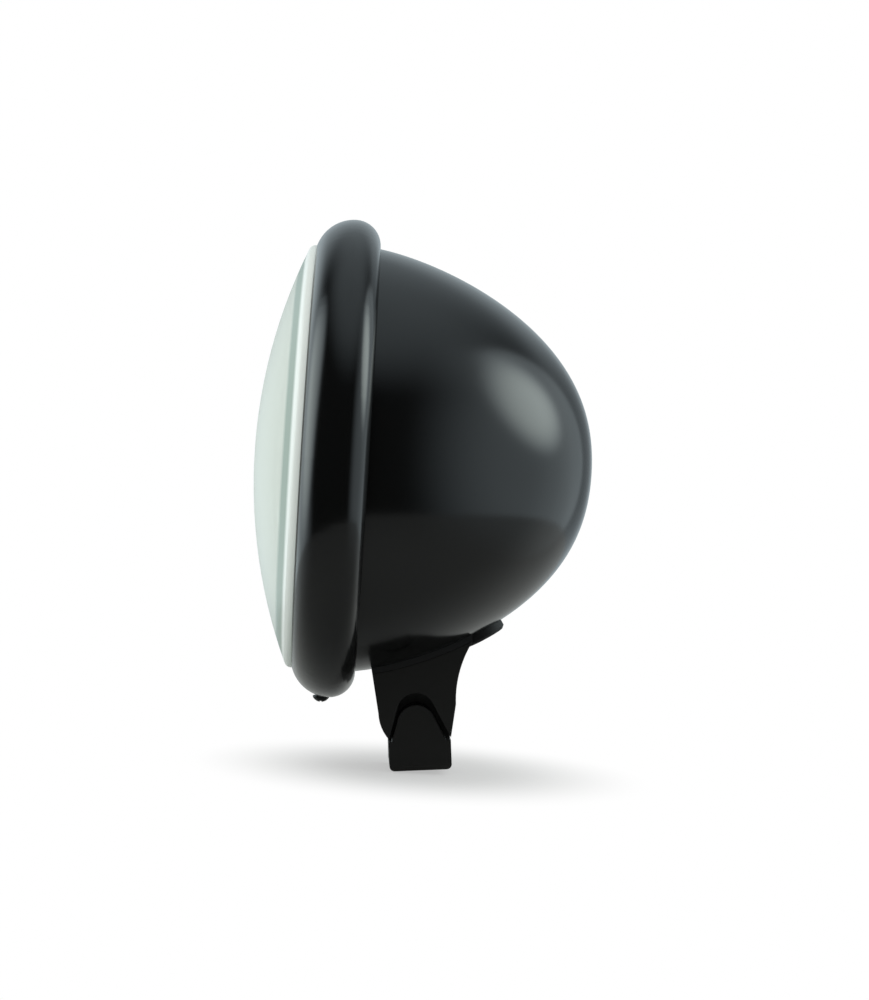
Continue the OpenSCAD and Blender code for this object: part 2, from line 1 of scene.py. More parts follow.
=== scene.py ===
import json
import math
import bpy
import mathutils
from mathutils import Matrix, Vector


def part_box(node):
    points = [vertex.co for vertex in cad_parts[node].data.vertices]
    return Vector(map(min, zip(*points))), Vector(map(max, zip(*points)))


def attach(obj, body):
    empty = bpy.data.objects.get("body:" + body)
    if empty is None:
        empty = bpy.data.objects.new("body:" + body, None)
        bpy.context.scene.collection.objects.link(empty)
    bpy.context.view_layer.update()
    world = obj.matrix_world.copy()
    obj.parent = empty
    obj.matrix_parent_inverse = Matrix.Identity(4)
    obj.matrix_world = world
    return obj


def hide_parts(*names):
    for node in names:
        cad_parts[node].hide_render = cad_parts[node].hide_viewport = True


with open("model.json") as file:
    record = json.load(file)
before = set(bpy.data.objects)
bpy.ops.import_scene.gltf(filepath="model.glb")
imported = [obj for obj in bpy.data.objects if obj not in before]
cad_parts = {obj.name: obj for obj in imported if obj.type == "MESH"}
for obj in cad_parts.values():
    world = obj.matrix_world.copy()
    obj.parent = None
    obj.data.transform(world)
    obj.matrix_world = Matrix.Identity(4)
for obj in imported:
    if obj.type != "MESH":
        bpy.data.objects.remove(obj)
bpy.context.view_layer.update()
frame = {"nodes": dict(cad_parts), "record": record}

# %% [markdown]
# ## The CAD frame
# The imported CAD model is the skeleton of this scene. It is a round motorcycle headlight: a pressed
# bowl, a trim ring, a domed fluted glass and a raked foot. The lens faces -Y, +Z is up, and the origin
# is the mouth of the threaded hole under the foot. Sizes here are written in millimetres and turned
# into metres, because that is how they would be read from a drawing. The ring gives two places that
# later steps need: the height of the lamp's axis, and the plane of the ring's crest, where it is
# widest. The crest lies one rear bend in front of the ring's rear edge.

# %% Frame and sizes
NODES = frame["nodes"]
MM = 0.001
RIM_LOW, RIM_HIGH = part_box("rim")
AXIS_Z = (RIM_LOW.z + RIM_HIGH.z) / 2
REAR_BEND = 8.5 * MM
CREST_Y = RIM_HIGH.y - REAR_BEND
print("nodes", len(NODES), "axis height mm", round(AXIS_Z / MM, 2), "crest plane mm", round(CREST_Y / MM, 2))

# %% [markdown]
# ## Colour and node helpers
# A shader works in linear light, and a colour given here is written in sRGB. One function turns the
# one into the other. The second adds a node, makes its settings and joins its inputs, so that each
# finish below reads as a short list of what happens to the surface. The third starts a material and
# gives the Object coordinates that its patterns lie on, which stay with the piece.

# %% Helpers for colours, nodes and materials
def colour(hex_code):
    """Turns an sRGB hex code into linear light."""
    parts = [int(hex_code[i:i + 2], 16) / 255 for i in (1, 3, 5)]
    return tuple(p / 12.92 if p <= 0.04045 else ((p + 0.055) / 1.055) ** 2.4 for p in parts) + (1.0,)


def add(tree, kind, inputs=None, **settings):
    """Adds a node. An input takes a value, a socket, or a node, which joins by its first output."""
    node = tree.nodes.new(kind)
    for name, value in settings.items():
        setattr(node, name, value)
    for key, value in (inputs or {}).items():
        source = value.outputs[0] if isinstance(value, bpy.types.Node) else value
        if isinstance(source, bpy.types.NodeSocket):
            tree.links.new(source, node.inputs[key])
        else:
            node.inputs[key].default_value = source
    return node


def start(name):
    """Starts a material and returns it with its node tree and its Object coordinates."""
    made = bpy.data.materials.new(name)
    made.use_nodes = True
    made.node_tree.nodes.clear()
    return made, made.node_tree, add(made.node_tree, "ShaderNodeTexCoord").outputs["Object"]


print("black enamel in linear light:", [round(c, 4) for c in colour("#0C0D0D")[:3]])

# %% [markdown]
# ## Stoved black enamel
# The bowl and the trim ring are pressed from sheet steel and sprayed with a black enamel that is baked
# hard. The film flows before it sets, so it is smooth, with a faint orange peel that repeats every few
# millimetres. The peel is a shallow bump, and handling leaves a very slight unevenness of the gloss.
# The colour is close to black, so nearly all that is seen is the mirrored room.

# %% Black enamel
PEEL = 3.2 * MM
HANDLING = 38 * MM
enamel, tree, place = start("stoved_black_enamel")
peel = add(tree, "ShaderNodeTexNoise", {"Vector": place, "Scale": 1 / PEEL, "Detail": 1.5})
haze = add(tree, "ShaderNodeTexNoise", {"Vector": place, "Scale": 1 / HANDLING, "Detail": 3.0})
gloss = add(tree, "ShaderNodeMapRange", {"Value": haze.outputs["Fac"], "To Min": 0.13, "To Max": 0.19})
bump = add(tree, "ShaderNodeBump", {"Height": peel.outputs["Fac"], "Strength": 0.12, "Distance": 0.03 * MM})
paint = add(tree, "ShaderNodeBsdfPrincipled", {
    "Base Color": colour("#0C0D0D"), "Roughness": gloss, "IOR": 1.5, "Normal": bump})
add(tree, "ShaderNodeOutputMaterial", {"Surface": paint})
print("enamel peel repeats every", round(PEEL / MM, 1), "mm")

# %% [markdown]
# ## Powder coat on the cast foot
# The foot is a small casting. It carries a thicker, duller coat than the bowl, with a fine grain, and
# its edges are a little rounded by the coat. The Bevel node rounds the shading of the sharp CAD edges
# by half a millimetre without touching the mesh.

# %% Satin black coat of the foot
COAT_GRAIN = 0.9 * MM
COATED_EDGE = 0.5 * MM
coat, tree, place = start("satin_black_powder_coat")
grain = add(tree, "ShaderNodeTexNoise", {"Vector": place, "Scale": 1 / COAT_GRAIN, "Detail": 3.0})
soft_edge = add(tree, "ShaderNodeBevel", {"Radius": COATED_EDGE}, samples=4)
bump = add(tree, "ShaderNodeBump", {
    "Height": grain.outputs["Fac"], "Strength": 0.25, "Distance": 0.05 * MM, "Normal": soft_edge})
dull = add(tree, "ShaderNodeMapRange", {"Value": grain.outputs["Fac"], "To Min": 0.42, "To Max": 0.56})
paint = add(tree, "ShaderNodeBsdfPrincipled", {
    "Base Color": colour("#151513"), "Roughness": dull, "IOR": 1.45, "Normal": bump})
add(tree, "ShaderNodeOutputMaterial", {"Surface": paint})
print("coat grain repeats every", round(COAT_GRAIN / MM, 1), "mm")

# %% [markdown]
# ## Rubber
# The pad under the bowl, the grommet, the boot behind the bulb and the pilot lamp's holder are moulded
# black rubber. Rubber has a weak, wide shine and a fine, even texture, so its roughness is high and its
# bump is small and close. The real texture is finer than a pixel of the picture, so it is drawn as
# coarse as it needs to show.

# %% Moulded rubber
RUBBER_GRAIN = 0.6 * MM
rubber, tree, place = start("moulded_black_rubber")
grain = add(tree, "ShaderNodeTexNoise", {"Vector": place, "Scale": 1 / RUBBER_GRAIN, "Detail": 4.0})
bump = add(tree, "ShaderNodeBump", {"Height": grain.outputs["Fac"], "Strength": 0.3, "Distance": 0.04 * MM})
mould = add(tree, "ShaderNodeBsdfPrincipled", {
    "Base Color": colour("#0E0E0F"), "Roughness": 0.7, "IOR": 1.5, "Normal": bump})
add(tree, "ShaderNodeOutputMaterial", {"Surface": mould})
print("rubber grain repeats every", round(RUBBER_GRAIN / MM, 1), "mm")

# %% [markdown]
# ## Sealant
# A pale bead seals the glass to the reflector. It is squeezed between the two flanges and shows
# through the glass, so it has only a soft clouding between two pale tones.

# %% Pale sealant
SEALANT_CLOUD = 6 * MM
sealant, tree, place = start("pale_lens_sealant")
tone = add(tree, "ShaderNodeTexNoise", {"Vector": place, "Scale": 1 / SEALANT_CLOUD, "Detail": 2.0})
mix = add(tree, "ShaderNodeMix", {
    "Factor": tone.outputs["Fac"], "A": colour("#DCE6DF"), "B": colour("#EEF4EF")}, data_type="RGBA")
bead = add(tree, "ShaderNodeBsdfPrincipled", {"Base Color": mix.outputs["Result"], "Roughness": 0.45})
add(tree, "ShaderNodeOutputMaterial", {"Surface": bead})
print("sealant clouds every", round(SEALANT_CLOUD / MM, 1), "mm")

# %% [markdown]
# ## Zones of the pressed lens
# The front glass is pressed soda-lime glass about 3 mm thick. The iron in it tints it green where the
# light travels a long way through it. Near the edge the wall turns into the flange: there a green band
# shows, and outside it the ramp paints a bright, nearly white ring. These zones are circles
# round the lamp's axis, so a colour ramp over the distance from that axis draws them.

# %% Zones of the lens
LENS_RADIUS = 73 * MM
# The distance from the axis at which each colour is reached, from the middle outwards.
LENS_ZONES = [(0.0, "#C3C9BB"), (60.5 * MM, "#C1C8BA"), (62.7 * MM, "#7C9080"), (66.5 * MM, "#829585"),
              (68.3 * MM, "#EEF6F0")]
pressed, tree, place = start("pressed_soda_lime_glass")
flat = add(tree, "ShaderNodeVectorMath", {0: place, 1: (1, 0, 1)}, operation="MULTIPLY")
off_axis = add(tree, "ShaderNodeVectorMath", {0: flat, 1: (0, 0, AXIS_Z)}, operation="DISTANCE")
reach = add(tree, "ShaderNodeMapRange", {"Value": off_axis.outputs["Value"], "From Max": LENS_RADIUS})
zones = add(tree, "ShaderNodeValToRGB", {"Fac": reach})
stops = zones.color_ramp.elements
for count, (distance, shade) in enumerate(LENS_ZONES):
    stop = stops[0] if count == 0 else stops.new(distance / LENS_RADIUS)
    stop.position, stop.color = distance / LENS_RADIUS, colour(shade)
stops.remove(stops[-1])
print("lens zones at mm", [round(s.position * LENS_RADIUS / MM, 1) for s in stops])

# %% [markdown]
# ## Clear from the front, pale from the side
# In Cycles a closed mesh with a transmissive surface bends light as the real piece does, and a little
# absorption inside gives the green. Seen from the front the lens is clear and its flutes show. Seen
# along its face, as the photograph does, the many bends inside blur into a pale haze. Layer Weight tells
# the two apart. The rounded shoulder at the edge looks pale from everywhere. Shadow rays pass straight
# through, so that the reflector behind stays lit.

# %% Pressed glass
RIPPLE = 9 * MM
HAZE_FROM, HAZE_FULL, HAZE_MOST = 0.48, 0.68, 0.92
SHOULDER_FROM, SHOULDER_FULL = 60 * MM, 63 * MM
ripple = add(tree, "ShaderNodeTexNoise", {"Vector": place, "Scale": 1 / RIPPLE, "Detail": 1.0})
bump = add(tree, "ShaderNodeBump", {"Height": ripple.outputs["Fac"], "Strength": 0.15, "Distance": 0.05 * MM})
glass = add(tree, "ShaderNodeBsdfGlass", {
    "Color": colour("#F8FBF9"), "Roughness": 0.02, "IOR": 1.5, "Normal": bump})
haze = add(tree, "ShaderNodeBsdfPrincipled", {
    "Base Color": zones.outputs["Color"], "Roughness": 0.35, "IOR": 1.5, "Specular IOR Level": 0.3,
    "Coat Weight": 0.15, "Coat Roughness": 0.08, "Normal": bump})
glancing = add(tree, "ShaderNodeLayerWeight", {"Blend": 0.5})
hazy = add(tree, "ShaderNodeMapRange", {
    "Value": glancing.outputs["Facing"], "From Min": HAZE_FROM, "From Max": HAZE_FULL, "To Min": 0.0,
    "To Max": HAZE_MOST}, interpolation_type="SMOOTHSTEP")
rounded = add(tree, "ShaderNodeMapRange", {
    "Value": off_axis.outputs["Value"], "From Min": SHOULDER_FROM, "From Max": SHOULDER_FULL},
    interpolation_type="SMOOTHSTEP")
cloudy = add(tree, "ShaderNodeMath", {0: hazy, 1: rounded}, operation="MAXIMUM")
body = add(tree, "ShaderNodeMixShader", {0: cloudy, 1: glass, 2: haze})
clear = add(tree, "ShaderNodeBsdfTransparent", {"Color": colour("#E4F0E7")})
path = add(tree, "ShaderNodeLightPath")
see = add(tree, "ShaderNodeMixShader", {0: path.outputs["Is Shadow Ray"], 1: body, 2: clear})
inside = add(tree, "ShaderNodeVolumeAbsorption", {"Color": colour("#C9DFD0"), "Density": 8.0})
add(tree, "ShaderNodeOutputMaterial", {"Surface": see, "Volume": inside})
print("lens drawn from", len(tree.nodes), "nodes")

# %% [markdown]
# ## Blown glass of the bulbs
# The bulbs are blown from thin clear glass. Blowing leaves the surface fire-polished, so its roughness
# is zero, with only a shallow ripple. As in the lens, shadow rays pass straight through.

# %% Bulb glass
BLOWN_RIPPLE = 4 * MM
blown, tree, place = start("blown_bulb_glass")
ripple = add(tree, "ShaderNodeTexNoise", {"Vector": place, "Scale": 1 / BLOWN_RIPPLE, "Detail": 1.0})
bump = add(tree, "ShaderNodeBump", {"Height": ripple.outputs["Fac"], "Strength": 0.1, "Distance": 0.02 * MM})
glass = add(tree, "ShaderNodeBsdfGlass", {
    "Color": colour("#FFFFFF"), "Roughness": 0.0, "IOR": 1.45, "Normal": bump})
clear = add(tree, "ShaderNodeBsdfTransparent", {"Color": colour("#F4F7F5")})
path = add(tree, "ShaderNodeLightPath")
see = add(tree, "ShaderNodeMixShader", {0: path.outputs["Is Shadow Ray"], 1: glass, 2: clear})
add(tree, "ShaderNodeOutputMaterial", {"Surface": see})
print("bulb glass ripples every", round(BLOWN_RIPPLE / MM, 1), "mm")

# %% [markdown]
# ## Metals
# The reflector is pressed steel with aluminium vapour on a lacquer, so it is close to a mirror. The
# bolt, the nut and the plates inside are zinc plated, which leaves a soft, slightly cloudy shine. The
# clips and the bulb's spring are bright drawn steel. The bulb's base and shield are nickel plated, a
# little paler and smoother. The terminals are brass strip, and the filaments are drawn tungsten, dull
# and grey. The screw in the ring is chemically blackened. All of them are made alike: a cloud pattern
# moves the colour between two near tones and the roughness between two values.

# %% Metal finishes
# Darker tone, lighter tone, lowest and highest roughness, and size of the clouding in millimetres.
METALS = {
    "vapour_aluminised_reflector": ("#E2E5E6", "#EFF1F1", 0.05, 0.09, 22),
    "bright_spring_steel": ("#A9ACAE", "#C3C6C7", 0.24, 0.34, 3),
    "bright_zinc_plate": ("#B2B6B8", "#C9CCCD", 0.26, 0.40, 5),
    "nickel_plated_brass": ("#BDBFBC", "#D0D1CE", 0.22, 0.34, 4),
    "brass_strip": ("#C9A656", "#D8BC78", 0.25, 0.36, 3),
    "drawn_tungsten": ("#7F8183", "#96989A", 0.30, 0.40, 1),
    "blackened_steel": ("#2A2B2C", "#3A3B3C", 0.28, 0.42, 2),
}
METAL = {}
for name, (dark, light, smooth, rough, cloud_mm) in METALS.items():
    METAL[name], tree, place = start(name)
    cloud = add(tree, "ShaderNodeTexNoise", {"Vector": place, "Scale": 1 / (cloud_mm * MM), "Detail": 3.0})
    mix = add(tree, "ShaderNodeMix", {
        "Factor": cloud.outputs["Fac"], "A": colour(dark), "B": colour(light)}, data_type="RGBA")
    shine = add(tree, "ShaderNodeMapRange", {
        "Value": cloud.outputs["Fac"], "To Min": smooth, "To Max": rough})
    metal = add(tree, "ShaderNodeBsdfPrincipled", {
        "Base Color": mix.outputs["Result"], "Roughness": shine, "Metallic": 1.0})
    add(tree, "ShaderNodeOutputMaterial", {"Surface": metal})
print("metal finishes:", ", ".join(METAL))

# %% [markdown]
# ## Phenolic insulator
# The disc that holds the bulb's terminals is moulded from brown phenolic resin filled with wood flour.
# The filler shows as fine specks of a lighter brown, and the surface is half dull.

# %% Insulator
SPECK = 1.5 * MM
phenolic, tree, place = start("moulded_phenolic_insulator")
speck = add(tree, "ShaderNodeTexNoise", {"Vector": place, "Scale": 1 / SPECK, "Detail": 4.0})
mix = add(tree, "ShaderNodeMix", {
    "Factor": speck.outputs["Fac"], "A": colour("#2B231B"), "B": colour("#46392C")}, data_type="RGBA")
resin = add(tree, "ShaderNodeBsdfPrincipled", {"Base Color": mix.outputs["Result"], "Roughness": 0.5})
add(tree, "ShaderNodeOutputMaterial", {"Surface": resin})
print("insulator specks every", round(SPECK / MM, 1), "mm")

# %% [markdown]
# ## Finishes on the CAD pieces
# Most CAD pieces already have their real shape, so they only take their finish here. The bowl and the
# filaments take theirs too, although the pieces drawn below hide those two.

# %% Dress the CAD nodes
FINISH = {
    "rim": enamel, "shell": enamel, "foot": coat, "foot_pad": rubber, "cable_grommet": rubber,
    "dust_boot": rubber, "pilot_holder": rubber, "lens": pressed, "lens_seal": sealant,
    "bulb_glass": blown, "pilot_bulb": blown, "bulb_insulator": phenolic,
    "reflector": METAL["vapour_aluminised_reflector"], "rim_clips": METAL["bright_spring_steel"],
    "bulb_spring": METAL["bright_spring_steel"], "bulb_base": METAL["nickel_plated_brass"],
    "bulb_shield": METAL["nickel_plated_brass"], "bulb_terminals": METAL["brass_strip"],
    "bulb_filaments": METAL["drawn_tungsten"], "rim_screw": METAL["blackened_steel"],
    "rim_hook": METAL["bright_zinc_plate"], "rim_lug": METAL["bright_zinc_plate"],
    "rim_nut": METAL["bright_zinc_plate"], "clamp_plate": METAL["bright_zinc_plate"],
    "foot_washer": METAL["bright_zinc_plate"], "foot_bolt": METAL["bright_zinc_plate"],
}
for name, finish in FINISH.items():
    NODES[name].data.materials.clear()
    NODES[name].data.materials.append(finish)
print("dressed", len(FINISH), "of", len(NODES), "CAD nodes")

# %% [markdown]
# ## A small kit for node trees
# Two pieces below follow a rule, so Geometry Nodes make them. One helper makes a tree with named inputs
# for its sizes. The other runs a tree on an empty mesh and turns the result into a plain mesh that
# rides on the lamp. An input is set by its socket's identifier, because the modifier doesn't know it by
# its name.

# %% Helpers for node trees
def tree_with(name, inputs):
    """Makes a tree with named inputs and returns it with what it is given and what it gives out."""
    group = bpy.data.node_groups.new(name, "GeometryNodeTree")
    group.interface.new_socket("Geometry", in_out="OUTPUT", socket_type="NodeSocketGeometry")
    for label, (kind, value) in inputs.items():
        group.interface.new_socket(label, in_out="INPUT", socket_type=kind).default_value = value
    return group, group.nodes.new("NodeGroupInput").outputs, group.nodes.new("NodeGroupOutput").inputs


def build(name, group, values):
    """Runs a tree and returns its result as a plain mesh object on the body root."""
    carrier = bpy.data.objects.new(name + "_tree", bpy.data.meshes.new(name + "_tree"))
    bpy.context.scene.collection.objects.link(carrier)
    modifier = carrier.modifiers.new("tree", "NODES")
    modifier.node_group = group
    ids = {i.name: i.identifier for i in group.interface.items_tree if i.in_out == "INPUT"}
    for label, value in values.items():
        modifier[ids[label]] = value
    bpy.context.view_layer.update()
    mesh = bpy.data.meshes.new_from_object(carrier.evaluated_get(bpy.context.evaluated_depsgraph_get()))
    carrier.modifiers.clear()
    bpy.data.objects.remove(carrier)
    mesh.name = name
    piece = bpy.data.objects.new(name, mesh)
    bpy.context.scene.collection.objects.link(piece)
    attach(piece, "root")
    print(name, "faces", len(mesh.polygons))
    return piece


print("node tree kit ready")

# %% [markdown]
# ## The bowl, drawn by its rule
# The bowl is pressed over a former whose outline is a superellipse: full at the side and rounded at the
# back. The CAD follows that curve in short straight steps, which a mirror-like enamel would show as
# rings. So the bowl is drawn again here from the same rule, with fine rows, by Geometry Nodes. Its
# lengths count from the plane of the ring's crest.

# %% The bowl's sizes
BOWL = {"Mouth radius": 71.3 * MM, "Mouth": 1.6 * MM, "Skirt": 2.4 * MM, "Length": 82.2 * MM,
        "Fullness": 0.438, "Shape": 1.47, "Wall": 1.0 * MM, "Rows": 96, "Columns": 288}
print("bowl", round(BOWL["Mouth radius"] * 2 / MM, 1), "mm wide,", round(BOWL["Length"] / MM, 1), "mm long")

# %% [markdown]
# ## Where the bowl is pierced
# The foot's bolt comes up through one hole, and the cable leaves by the other. The CAD places both: the
# bolt runs from the origin to the middle of its washer, and the outlet is one of the record's mounts.

# %% The bowl's holes
WASHER_LOW, WASHER_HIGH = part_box("foot_washer")
WASHER = (mathutils.Vector(WASHER_LOW) + mathutils.Vector(WASHER_HIGH)) / 2
OUTLET = next(m for m in frame["record"]["mounts"] if m["name"] == "cable_bore")
HOLES = {"Bolt": (WASHER, WASHER.normalized(), 3.15 * MM),
         "Cable": (OUTLET["pos_m"], OUTLET["axis"], 6.6 * MM)}
for label, (middle, axis, hole_radius) in HOLES.items():
    BOWL[label + " hole radius"] = hole_radius
    BOWL[label + " hole centre"] = tuple(middle)
    BOWL[label + " hole axis"] = tuple(axis)
    print(label, "hole", round(hole_radius * 2 / MM, 1), "mm across")

# %% [markdown]
# ## Rows along the outline
# A flat grid is the start. One of its directions will run along the outline and the other round the
# axis. Row 0 is the mouth, row 1 the end of the straight skirt, and the rest follow the curve to the
# back, in equal steps of the superellipse's angle.

# %% The grid and its rows
SOCKETS = {int: "NodeSocketInt", float: "NodeSocketFloat", tuple: "NodeSocketVector"}
group, given, out = tree_with("pressed_bowl", {label: (SOCKETS[type(v)], v) for label, v in BOWL.items()})
grid = add(group, "GeometryNodeMeshGrid", {
    "Size X": 1.0, "Size Y": 1.0, "Vertices X": given["Rows"], "Vertices Y": given["Columns"]})
position = add(group, "GeometryNodeInputPosition")
at = add(group, "ShaderNodeSeparateXYZ", {0: position})
last_row = add(group, "ShaderNodeMath", {0: given["Rows"], 1: 1.0}, operation="SUBTRACT")
from_edge = add(group, "ShaderNodeMath", {0: at.outputs["X"], 1: 0.5}, operation="ADD")
counted = add(group, "ShaderNodeMath", {0: from_edge, 1: last_row}, operation="MULTIPLY")
row = add(group, "ShaderNodeMath", {0: counted}, operation="ROUND")
past_skirt = add(group, "ShaderNodeMath", {0: row, 1: 1.0}, operation="SUBTRACT")
curve_row = add(group, "ShaderNodeMath", {0: past_skirt, 1: 0.0}, operation="MAXIMUM")
curve_rows = add(group, "ShaderNodeMath", {0: last_row, 1: 1.0}, operation="SUBTRACT")
share = add(group, "ShaderNodeMath", {0: curve_row, 1: curve_rows}, operation="DIVIDE")
angle = add(group, "ShaderNodeMath", {0: share, 1: math.pi / 2}, operation="MULTIPLY")
print("grid of", BOWL["Rows"], "rows and", BOWL["Columns"], "columns")

# %% [markdown]
# ## The superellipse
# The radius falls with a power of the angle's cosine, and the depth grows with a power of its sine. The
# two powers make the outline full or slim at the side and round or pointed at the back. The mouth and
# the straight skirt come before the curve.

# %% Radius and depth of each row
cosine = add(group, "ShaderNodeMath", {0: angle}, operation="COSINE")
closing = add(group, "ShaderNodeMath", {0: cosine, 1: 0.0}, operation="MAXIMUM")
full_power = add(group, "ShaderNodeMath", {0: given["Fullness"], 1: 2.0}, operation="MULTIPLY")
side_share = add(group, "ShaderNodeMath", {0: closing, 1: full_power}, operation="POWER")
radius = add(group, "ShaderNodeMath", {0: given["Mouth radius"], 1: side_share}, operation="MULTIPLY")
sine = add(group, "ShaderNodeMath", {0: angle}, operation="SINE")
deep_power = add(group, "ShaderNodeMath", {0: 2.0, 1: given["Shape"]}, operation="DIVIDE")
deep_share = add(group, "ShaderNodeMath", {0: sine, 1: deep_power}, operation="POWER")
curve_length = add(group, "ShaderNodeMath", {0: given["Length"], 1: given["Skirt"]}, operation="SUBTRACT")
on_curve = add(group, "ShaderNodeMath", {0: curve_length, 1: deep_share}, operation="MULTIPLY")
skirt_share = add(group, "ShaderNodeMath", {0: row, 1: 1.0}, operation="MINIMUM")
on_skirt = add(group, "ShaderNodeMath", {0: skirt_share, 1: given["Skirt"]}, operation="MULTIPLY")
past_mouth = add(group, "ShaderNodeMath", {0: on_skirt, 1: on_curve}, operation="ADD")
along = add(group, "ShaderNodeMath", {0: given["Mouth"], 1: past_mouth}, operation="ADD")
print("outline drawn from", len(group.nodes), "nodes so far")

# %% [markdown]
# ## Round the axis
# Each row is bent into a ring round the lamp's axis. Where the grid's two sides meet, and at the back,
# where the last row shrinks to a point, Merge by Distance closes the skin.

# %% The skin
WELD = 0.001 * MM
turn_share = add(group, "ShaderNodeMath", {0: at.outputs["Y"], 1: 0.5}, operation="ADD")
turn = add(group, "ShaderNodeMath", {0: turn_share, 1: 2 * math.pi}, operation="MULTIPLY")
turn_cosine = add(group, "ShaderNodeMath", {0: turn}, operation="COSINE")
turn_sine = add(group, "ShaderNodeMath", {0: turn}, operation="SINE")
to_side = add(group, "ShaderNodeMath", {0: radius, 1: turn_cosine}, operation="MULTIPLY")
to_top = add(group, "ShaderNodeMath", {0: radius, 1: turn_sine}, operation="MULTIPLY")
to_back = add(group, "ShaderNodeMath", {0: along, 1: CREST_Y}, operation="ADD")
height = add(group, "ShaderNodeMath", {0: to_top, 1: AXIS_Z}, operation="ADD")
spot = add(group, "ShaderNodeCombineXYZ", {"X": to_side, "Y": to_back, "Z": height})
bent = add(group, "GeometryNodeSetPosition", {"Geometry": grid.outputs["Mesh"], "Position": spot})
skin = add(group, "GeometryNodeMergeByDistance", {"Geometry": bent, "Distance": WELD})
print("bowl's skin starts", round((CREST_Y + BOWL["Mouth"]) / MM, 1), "mm along Y")

# %% [markdown]
# ## The wall of the sheet
# The inside of the sheet comes from pushing the faces in by the wall. Those faces are turned round, so
# that they point into the bowl, and are welded to the outside along the mouth. That makes the sheet a
# closed solid, which the punches need.

# %% The sheet
inner = add(group, "ShaderNodeMath", {0: given["Wall"], 1: -1.0}, operation="MULTIPLY")
pushed = add(group, "GeometryNodeExtrudeMesh", {
    "Mesh": skin, "Offset Scale": inner, "Individual": False}, mode="FACES")
turned = add(group, "GeometryNodeFlipFaces", {"Mesh": pushed.outputs["Mesh"]})
both = add(group, "GeometryNodeJoinGeometry", {"Geometry": skin})
group.links.new(turned.outputs[0], both.inputs[0])
sheet = add(group, "GeometryNodeMergeByDistance", {"Geometry": both, "Distance": WELD})
print("sheet", round(BOWL["Wall"] / MM, 1), "mm thick")

# %% [markdown]
# ## Punching the holes
# A cylinder stands on each hole's axis and is cut out of the sheet. It is much longer than the sheet is
# thick, so that it passes through both faces, and short enough to miss the far side of the bowl.

# %% The two punches
PUNCH_LENGTH = 30 * MM
holed = sheet
for label in HOLES:
    punch = add(group, "GeometryNodeMeshCylinder", {
        "Vertices": 64, "Radius": given[label + " hole radius"], "Depth": PUNCH_LENGTH})
    aim = add(group, "FunctionNodeAlignRotationToVector", {"Vector": given[label + " hole axis"]}, axis="Z")
    placed = add(group, "GeometryNodeTransform", {
        "Geometry": punch.outputs["Mesh"], "Translation": given[label + " hole centre"], "Rotation": aim})
    holed = add(group, "GeometryNodeMeshBoolean", {"Mesh 1": holed, "Mesh 2": placed},
                operation="DIFFERENCE", solver="MANIFOLD")
print("punched", len(HOLES), "holes")

# %% [markdown]
# ## Smooth enamel over crisp edges
# The bowl shades smoothly, and only its mouth and the rims of its holes stay crisp. They are the edges
# that turn by more than 40 degrees. The finished bowl takes the place of the CAD's shell.

# %% The finished bowl
CRISP_ANGLE = math.radians(40)
real = add(group, "GeometryNodeRealizeInstances", {"Geometry": holed})
smooth = add(group, "GeometryNodeSetShadeSmooth", {"Geometry": real})
bend = add(group, "GeometryNodeInputMeshEdgeAngle")
sharp = add(group, "FunctionNodeCompare", {"A": bend.outputs["Unsigned Angle"], "B": CRISP_ANGLE},
            operation="GREATER_THAN")
crisp = add(group, "GeometryNodeSetShadeSmooth", {
    "Geometry": smooth, "Selection": sharp, "Shade Smooth": False}, domain="EDGE")
painted = add(group, "GeometryNodeSetMaterial", {"Geometry": crisp, "Material": enamel})
group.links.new(painted.outputs[0], out[0])
bowl = build("pressed_bowl", group, BOWL)
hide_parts("shell")

# %% [markdown]
# ## Filament coils
# Each filament is a wire wound into a fine coil. The CAD keeps it as a plain rod of the coil's outer
# size, which is right for its room but not for its look. A spiral curve with a thin round profile gives
# the real coil, and the same coil is placed twice along the axis, one for each beam.

# %% The two coils
FILAMENT_LOW, FILAMENT_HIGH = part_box("bulb_filaments")
LEAD_RADIUS = 0.3 * MM
WIRE = {"Coil radius": 0.56 * MM, "Coil length": 5.5 * MM, "Turns": 11.0, "Wire radius": 0.13 * MM,
        "Lead radius": LEAD_RADIUS, "Lead offset": 2.4 * MM, "Step": 9.0 * MM,
        "Front": FILAMENT_LOW.y + LEAD_RADIUS, "Back": FILAMENT_HIGH.y, "Axis height": AXIS_Z}
ALONG_AXIS = (-math.pi / 2, 0, 0)
group, given, out = tree_with("filament_coils", {label: ("NodeSocketFloat", v) for label, v in WIRE.items()})
spiral = add(group, "GeometryNodeCurveSpiral", {
    "Resolution": 20, "Rotations": given["Turns"], "Start Radius": given["Coil radius"],
    "End Radius": given["Coil radius"], "Height": given["Coil length"]})
section = add(group, "GeometryNodeCurvePrimitiveCircle", {"Resolution": 8, "Radius": given["Wire radius"]})
wound = add(group, "GeometryNodeCurveToMesh", {
    "Curve": spiral, "Profile Curve": section, "Fill Caps": True})
first = add(group, "ShaderNodeCombineXYZ", {"Y": given["Front"], "Z": given["Axis height"]})
gap = add(group, "ShaderNodeCombineXYZ", {"Y": given["Step"]})
spots = add(group, "GeometryNodeMeshLine", {"Count": 2, "Start Location": first, "Offset": gap})
coils = add(group, "GeometryNodeInstanceOnPoints", {
    "Points": spots, "Instance": wound, "Rotation": ALONG_AXIS})
print("two coils of", round(WIRE["Turns"]), "turns")

# %% [markdown]
# ## Lead wires
# Straight, thicker wires hold the coils. One comes up on each side and reaches in to the front end of
# its own coil. In the middle, one wire joins the two coils, and one runs from the rear coil back to the
# bulb's base.

